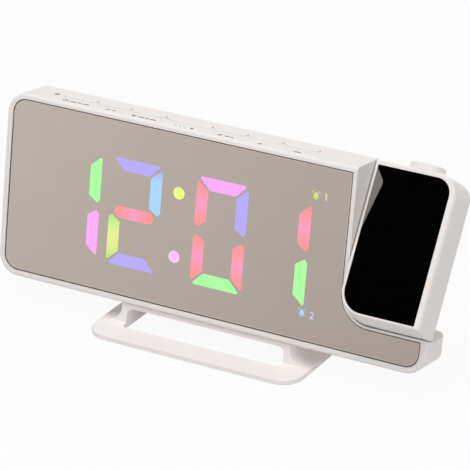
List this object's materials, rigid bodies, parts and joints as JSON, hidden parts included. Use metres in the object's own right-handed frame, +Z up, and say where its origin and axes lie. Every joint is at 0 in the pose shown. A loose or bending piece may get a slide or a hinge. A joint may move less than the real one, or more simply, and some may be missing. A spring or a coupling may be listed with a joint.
{
  "type": "projection alarm clock",
  "caption": "Tilting mirror-front alarm clock on a flat ring foot, with top keys and a swivelling, focusable projector wing in its upper right corner.",
  "frame": {"origin": "middle of the underside of the foot, at the height the pads stand on", "axes": "+Z up, +Y from the display to the back, +X towards the projector wing"},
  "size_m": [0.1874, 0.056, 0.0849],
  "materials": {
    "housing": "fine matt, warm white",
    "mirror": "polished half mirror, taupe",
    "black_gloss": "polished black",
    "black_matt": "matt black",
    "diffuser": "frosted",
    "board": "green solder mask",
    "chip": "moulded",
    "steel": "bright",
    "rubber": "matt",
    "acetal": "smooth",
    "clear": "polished",
    "led": "clear epoxy"
  },
  "bodies": {
    "stand": {"stand_frame": "housing", "foot_pads": "rubber", "hinge_pins": "steel"},
    "clock": {"front_frame": "housing", "rear_housing": "housing", "mirror_panel": "mirror", "light_mask": "black_matt", "segment_lenses": "diffuser", "display_board": "board", "display_leds": "led", "key_board": "board", "key_switches": "chip", "light_sensor": "led", "main_board": "board", "main_chips": "chip", "usb_port": "steel", "power_inlet": "black_matt", "coin_cell": "steel", "cell_holder": "black_matt", "battery_door": "housing", "battery_screw": "steel", "speaker": "black_matt", "housing_screws": "steel", "pivot_bush": "acetal", "pivot_spring": "steel"},
    "projector": {"projector_front": "housing", "projector_rear": "housing", "projector_face": "black_gloss", "projector_axle": "acetal", "optics_barrel": "black_matt", "digit_slide": "chip", "condenser_lens": "clear", "projector_board": "board", "projector_led": "led", "projector_screws": "steel"},
    "focus_ring": {"focus_ring": "housing", "lens_cell": "black_matt", "projection_lens": "clear"},
    "key_time": {"key_time": "housing"},
    "key_alarm": {"key_alarm": "housing"},
    "key_down": {"key_down": "housing"},
    "key_snooze": {"key_snooze": "housing"},
    "key_up": {"key_up": "housing"},
    "key_brightness": {"key_brightness": "housing"},
    "key_projection": {"key_projection": "housing"}
  },
  "joints": [
    {"name": "stand_tilt", "type": "hinge", "parent": "stand", "child": "clock", "pos_m": [0, 0, 0.01254], "axis": [-1, 0, 0], "range_deg": [0, 70]},
    {"name": "projector_swivel", "type": "hinge", "parent": "clock", "child": "projector", "pos_m": [0.0594, 0.00163, 0.04927], "axis": [-1, 0, 0], "range_deg": [-114, 66]},
    {"name": "focus_turn", "type": "hinge", "parent": "projector", "child": "focus_ring", "pos_m": [0.07655, 0.01837, 0.07843], "axis": [0, 0.5299, 0.848], "range_deg": [-135, 135]},
    {"name": "press_time", "type": "slide", "parent": "clock", "child": "key_time", "axis": [0, -0.1392, -0.9903], "range_m": [0, 0.0006], "stiffness_N_per_m": 400},
    {"name": "press_alarm", "type": "slide", "parent": "clock", "child": "key_alarm", "axis": [0, -0.1392, -0.9903], "range_m": [0, 0.0006], "stiffness_N_per_m": 400},
    {"name": "press_down", "type": "slide", "parent": "clock", "child": "key_down", "axis": [0, -0.1392, -0.9903], "range_m": [0, 0.0006], "stiffness_N_per_m": 400},
    {"name": "press_snooze", "type": "slide", "parent": "clock", "child": "key_snooze", "axis": [0, -0.1392, -0.9903], "range_m": [0, 0.0006], "stiffness_N_per_m": 400},
    {"name": "press_up", "type": "slide", "parent": "clock", "child": "key_up", "axis": [0, -0.1392, -0.9903], "range_m": [0, 0.0006], "stiffness_N_per_m": 400},
    {"name": "press_brightness", "type": "slide", "parent": "clock", "child": "key_brightness", "axis": [0, -0.1392, -0.9903], "range_m": [0, 0.0006], "stiffness_N_per_m": 400},
    {"name": "press_projection", "type": "slide", "parent": "clock", "child": "key_projection", "axis": [0, -0.1392, -0.9903], "range_m": [0, 0.0006], "stiffness_N_per_m": 400}
  ]
}
